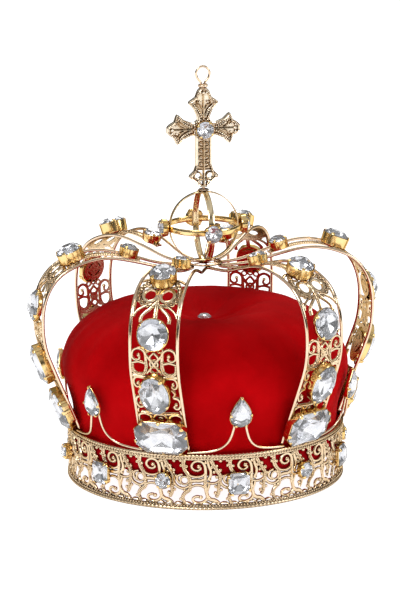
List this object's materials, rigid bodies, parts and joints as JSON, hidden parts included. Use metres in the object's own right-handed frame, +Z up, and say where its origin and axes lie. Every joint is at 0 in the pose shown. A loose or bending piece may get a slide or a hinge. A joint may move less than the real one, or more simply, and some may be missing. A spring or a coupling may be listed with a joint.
{
  "type": "crown",
  "caption": "Round costume crown with jewelled wire arches, a pierced band, a velvet cap, an open orb and a turning cross.",
  "frame": {"origin": "centre of the band's underside", "axes": "+Z up through the orb and the cross, -Y the front, the way the cross faces"},
  "size_m": [0.234, 0.2078, 0.2704],
  "materials": {
    "gold_plate": "polished pale gold plate",
    "clear_stone": "faceted clear, foil backed",
    "red_velvet": "short pile velvet",
    "headband_cloth": "folded velvet strip"
  },
  "bodies": {
    "crown": {"arch_filigree_front_right": "gold_plate", "arch_collets_front_right": "gold_plate", "arch_filigree_right": "gold_plate", "arch_collets_right": "gold_plate", "arch_filigree_back_right": "gold_plate", "arch_collets_back_right": "gold_plate", "arch_filigree_back_left": "gold_plate", "arch_collets_back_left": "gold_plate", "arch_filigree_left": "gold_plate", "arch_collets_left": "gold_plate", "arch_filigree_front_left": "gold_plate", "arch_collets_front_left": "gold_plate", "arch_wire_front": "gold_plate", "arch_wire_front_right": "gold_plate", "arch_wire_back_right": "gold_plate", "arch_wire_back": "gold_plate", "arch_wire_back_left": "gold_plate", "arch_wire_front_left": "gold_plate", "band_filigree": "gold_plate", "band_bottom_rim": "gold_plate", "band_top_rim": "gold_plate", "band_square_collets": "gold_plate", "band_round_collets": "gold_plate", "fleuron_wires": "gold_plate", "fleuron_collets": "gold_plate", "orb_equator_hoop": "gold_plate", "orb_front_back_hoop": "gold_plate", "orb_left_right_hoop": "gold_plate", "orb_collets": "gold_plate", "orb_top_washer": "gold_plate", "orb_base_disc": "gold_plate", "arch_stones_front_right": "clear_stone", "arch_stones_right": "clear_stone", "arch_stones_back_right": "clear_stone", "arch_stones_back_left": "clear_stone", "arch_stones_left": "clear_stone", "arch_stones_front_left": "clear_stone", "band_square_stones": "clear_stone", "band_round_stones": "clear_stone", "fleuron_stones": "clear_stone", "cap_button": "clear_stone", "orb_stones": "clear_stone", "velvet_cap": "red_velvet", "cap_headband": "headband_cloth"},
    "cross": {"cross_body": "gold_plate", "cross_collet": "gold_plate", "cross_stone": "clear_stone", "cross_pin": "gold_plate", "cross_collar": "gold_plate", "cross_eye_loop": "gold_plate"}
  },
  "joints": [
    {"name": "cross_swivel", "type": "hinge", "parent": "crown", "child": "cross", "pos_m": [0, 0, 0.189], "axis": [0, 0, 1], "continuous": true}
  ]
}
